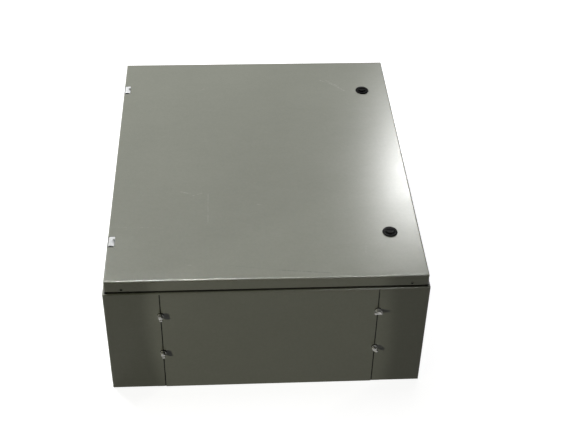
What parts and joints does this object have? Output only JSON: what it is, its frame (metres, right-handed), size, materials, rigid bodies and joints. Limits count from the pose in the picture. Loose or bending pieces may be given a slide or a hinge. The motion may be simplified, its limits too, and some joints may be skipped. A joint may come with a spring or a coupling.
{
  "type": "electrical enclosure",
  "caption": "Wall-mount sheet-steel electrical enclosure with a hinged door, quarter-turn locks, a mounting plate and a removable end plate held by wing screws.",
  "frame": {"origin": "middle of the back face, the face that goes against the wall", "axes": "+Z out of the door, +Y along the height towards the plain end, +X towards the locks"},
  "size_m": [0.61, 0.7736, 0.287],
  "materials": {
    "grey_paint": "satin grey-green powder coat over sheet steel",
    "zinc_plate": "bright zinc plating",
    "galvanised": "galvanised sheet",
    "black_plastic": "black moulded nylon",
    "seal_rubber": "black foamed seal"
  },
  "bodies": {
    "enclosure": {"enclosure_body": "grey_paint", "mounting_studs": "zinc_plate", "mounting_plate": "galvanised", "plate_washers": "zinc_plate", "plate_nuts": "zinc_plate", "body_earth_stud": "zinc_plate", "body_earth_nut": "zinc_plate", "end_plate": "grey_paint", "end_plate_gasket": "seal_rubber", "wing_screw_washers": "seal_rubber", "wing_screw_nuts": "zinc_plate", "hinge_upper_body_leaf": "zinc_plate", "hinge_lower_body_leaf": "zinc_plate", "hinge_body_screws": "zinc_plate"},
    "door": {"door_panel": "grey_paint", "door_seal": "seal_rubber", "door_earth_stud": "zinc_plate", "door_earth_nut": "zinc_plate", "hinge_upper_door_leaf": "zinc_plate", "hinge_lower_door_leaf": "zinc_plate", "hinge_upper_pin": "zinc_plate", "hinge_lower_pin": "zinc_plate", "hinge_door_studs": "zinc_plate", "hinge_door_nuts": "zinc_plate", "lock_upper_housing": "black_plastic", "lock_upper_seal": "seal_rubber", "lock_upper_nut": "zinc_plate", "lock_lower_housing": "black_plastic", "lock_lower_seal": "seal_rubber", "lock_lower_nut": "zinc_plate"},
    "upper_lock": {"lock_upper_rotor": "black_plastic", "lock_upper_cam": "zinc_plate", "lock_upper_screw": "zinc_plate"},
    "lower_lock": {"lock_lower_rotor": "black_plastic", "lock_lower_cam": "zinc_plate", "lock_lower_screw": "zinc_plate"},
    "wing_screw_back_left": {"wing_screw_back_left": "zinc_plate"},
    "wing_screw_front_left": {"wing_screw_front_left": "zinc_plate"},
    "wing_screw_back_right": {"wing_screw_back_right": "zinc_plate"},
    "wing_screw_front_right": {"wing_screw_front_right": "zinc_plate"}
  },
  "joints": [
    {"name": "door_hinge", "type": "hinge", "parent": "enclosure", "child": "door", "pos_m": [-0.2945, 0, 0.274], "axis": [0, -1, 0], "range_deg": [0, 120]},
    {"name": "upper_lock_turn", "type": "hinge", "parent": "door", "child": "upper_lock", "pos_m": [0.242, 0.252, 0.281], "axis": [0, 0, 1], "range_deg": [0, 90]},
    {"name": "lower_lock_turn", "type": "hinge", "parent": "door", "child": "lower_lock", "pos_m": [0.242, -0.252, 0.281], "axis": [0, 0, 1], "range_deg": [0, 90]},
    {"name": "wing_screw_back_left_turn", "type": "hinge", "parent": "enclosure", "child": "wing_screw_back_left", "pos_m": [-0.2005, -0.381, 0.099], "axis": [0, -1, 0], "continuous": true},
    {"name": "wing_screw_front_left_turn", "type": "hinge", "parent": "enclosure", "child": "wing_screw_front_left", "pos_m": [-0.2005, -0.381, 0.198], "axis": [0, -1, 0], "continuous": true},
    {"name": "wing_screw_back_right_turn", "type": "hinge", "parent": "enclosure", "child": "wing_screw_back_right", "pos_m": [0.2095, -0.381, 0.099], "axis": [0, -1, 0], "continuous": true},
    {"name": "wing_screw_front_right_turn", "type": "hinge", "parent": "enclosure", "child": "wing_screw_front_right", "pos_m": [0.2095, -0.381, 0.198], "axis": [0, -1, 0], "continuous": true}
  ]
}
